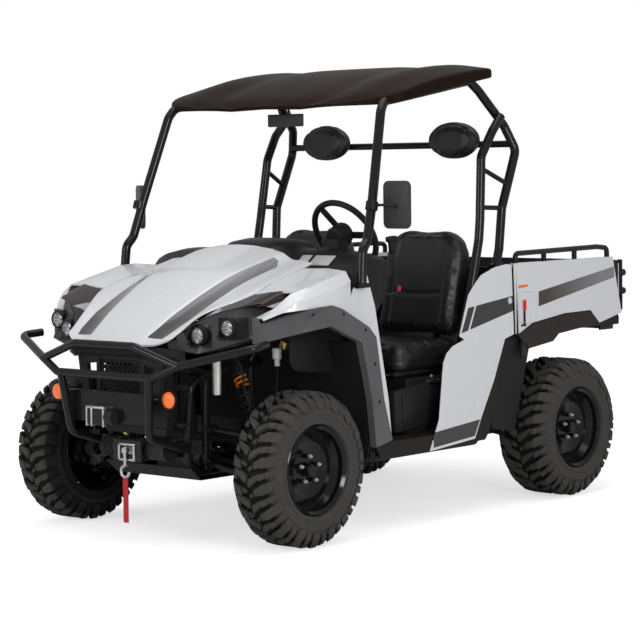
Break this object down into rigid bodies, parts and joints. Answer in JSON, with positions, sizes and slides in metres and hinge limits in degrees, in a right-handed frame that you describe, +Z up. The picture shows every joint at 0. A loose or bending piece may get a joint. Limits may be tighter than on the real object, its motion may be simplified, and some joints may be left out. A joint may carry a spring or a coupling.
{
  "type": "side by side utility vehicle",
  "caption": "Open side by side utility vehicle with roll cage, roof, front bumper with winch, bench-style seats and a tipping cargo bed with drop tailgate",
  "frame": {"origin": "on the ground, half way along the vehicle, on its centre plane", "axes": "X forward, Y to the vehicle's left, Z up"},
  "size_m": [2.9, 1.804, 2.06],
  "materials": {
    "black_frame": "gloss black powder coat",
    "cast_metal": "raw casting",
    "dark_steel": "satin black paint",
    "zinc": "zinc plate",
    "white_body": "gloss white moulding",
    "grey_trim": "grained dark grey moulding",
    "black_plastic": "grained black moulding",
    "roof_plastic": "gloss dark brown moulding",
    "seat_vinyl": "black vinyl",
    "strap_webbing": "red woven webbing",
    "tyre_rubber": "rubber",
    "rim_black": "gloss black enamel",
    "lens_clear": "clear lens",
    "lens_amber": "amber lens",
    "lens_red": "red lens"
  },
  "bodies": {
    "chassis": {"frame_rails": "black_frame", "frame_front": "black_frame", "frame_rear": "black_frame", "skid_plate": "dark_steel", "cage": "black_frame", "bumper": "black_frame", "control_arms": "black_frame", "rear_uprights": "cast_metal", "steering_rack": "dark_steel", "shock_absorbers": "dark_steel", "drive_shafts": "dark_steel", "gearboxes": "cast_metal", "engine": "cast_metal", "radiator": "dark_steel", "exhaust": "dark_steel", "winch": "dark_steel", "winch_hook": "zinc", "winch_strap": "strap_webbing", "fenders": "white_body", "arch_trims": "grey_trim", "splash_panels": "black_plastic", "nose": "grey_trim", "grille": "black_plastic", "headlamps": "grey_trim", "lamp_lenses": "lens_clear", "lamp_brows": "grey_trim", "indicators": "lens_amber", "roof": "roof_plastic", "quarter_panels": "white_body", "sills": "grey_trim", "floor_pan": "black_plastic", "dashboard": "black_plastic", "steering_column": "dark_steel", "shift_lever": "dark_steel", "seat_base": "black_plastic", "seat_cushions": "seat_vinyl", "seat_backs": "seat_vinyl", "headrests": "seat_vinyl", "mirrors": "black_plastic"},
    "bonnet": {"hood": "white_body"},
    "steering_wheel": {"steering_wheel": "black_plastic"},
    "knuckle_left": {"knuckle_left": "cast_metal"},
    "knuckle_right": {"knuckle_right": "cast_metal"},
    "tie_rod_left": {"tie_rod_left": "zinc"},
    "tie_rod_right": {"tie_rod_right": "zinc"},
    "bed": {"bed_tub": "black_plastic", "bed_sides": "white_body", "bed_trims": "grey_trim", "bed_rails": "black_frame", "bed_frame": "dark_steel", "tail_lamps": "lens_red"},
    "tailgate": {"tailgate": "black_plastic"},
    "wheel_front_left": {"tyre_front_left": "tyre_rubber", "rim_front_left": "rim_black"},
    "wheel_front_right": {"tyre_front_right": "tyre_rubber", "rim_front_right": "rim_black"},
    "wheel_rear_left": {"tyre_rear_left": "tyre_rubber", "rim_rear_left": "rim_black"},
    "wheel_rear_right": {"tyre_rear_right": "tyre_rubber", "rim_rear_right": "rim_black"}
  },
  "joints": [
    {"name": "steer_left", "type": "hinge", "parent": "chassis", "child": "knuckle_left", "pos_m": [0.946, 0.59, 0.33], "axis": [0, 0, 1], "range_deg": [-28, 28]},
    {"name": "tie_rod_left_pivot", "type": "hinge", "parent": "knuckle_left", "child": "tie_rod_left", "pos_m": [0.836, 0.59, 0.4], "axis": [0, 0, 1], "range_deg": [-29, 29]},
    {"name": "wheel_front_left_spin", "type": "hinge", "parent": "knuckle_left", "child": "wheel_front_left", "pos_m": [0.946, 0.67, 0.33], "axis": [0, 1, 0], "continuous": true},
    {"name": "wheel_rear_left_spin", "type": "hinge", "parent": "chassis", "child": "wheel_rear_left", "pos_m": [-0.946, 0.645, 0.33], "axis": [0, 1, 0], "continuous": true},
    {"name": "steer_right", "type": "hinge", "parent": "chassis", "child": "knuckle_right", "pos_m": [0.946, -0.59, 0.33], "axis": [0, 0, 1], "range_deg": [-28, 28]},
    {"name": "tie_rod_right_pivot", "type": "hinge", "parent": "knuckle_right", "child": "tie_rod_right", "pos_m": [0.836, -0.59, 0.4], "axis": [0, 0, 1], "range_deg": [-29, 29]},
    {"name": "wheel_front_right_spin", "type": "hinge", "parent": "knuckle_right", "child": "wheel_front_right", "pos_m": [0.946, -0.67, 0.33], "axis": [0, 1, 0], "continuous": true},
    {"name": "wheel_rear_right_spin", "type": "hinge", "parent": "chassis", "child": "wheel_rear_right", "pos_m": [-0.946, -0.645, 0.33], "axis": [0, 1, 0], "continuous": true},
    {"name": "steering_wheel_turn", "type": "hinge", "parent": "chassis", "child": "steering_wheel", "pos_m": [0.262, 0.35, 1.29], "axis": [-0.87, 0, 0.493], "range_deg": [-282, 282]},
    {"name": "bonnet_lid", "type": "hinge", "parent": "chassis", "child": "bonnet", "pos_m": [0.59, 0, 1.21], "axis": [0, -1, 0], "range_deg": [0, 55]},
    {"name": "bed_tilt", "type": "hinge", "parent": "chassis", "child": "bed", "pos_m": [-1.165, 0, 0.725], "axis": [0, -1, 0], "range_deg": [0, 40]},
    {"name": "tailgate_drop", "type": "hinge", "parent": "bed", "child": "tailgate", "pos_m": [-1.392, 0, 0.821], "axis": [0, -1, 0], "range_deg": [0, 90]}
  ],
  "couplings": [
    {"joint": "steer_right", "follows": "steer_left", "ratio": 1},
    {"joint": "tie_rod_left_pivot", "follows": "steer_left", "ratio": -1},
    {"joint": "tie_rod_right_pivot", "follows": "steer_left", "ratio": -1},
    {"joint": "steering_wheel_turn", "follows": "steer_left", "ratio": 10}
  ]
}
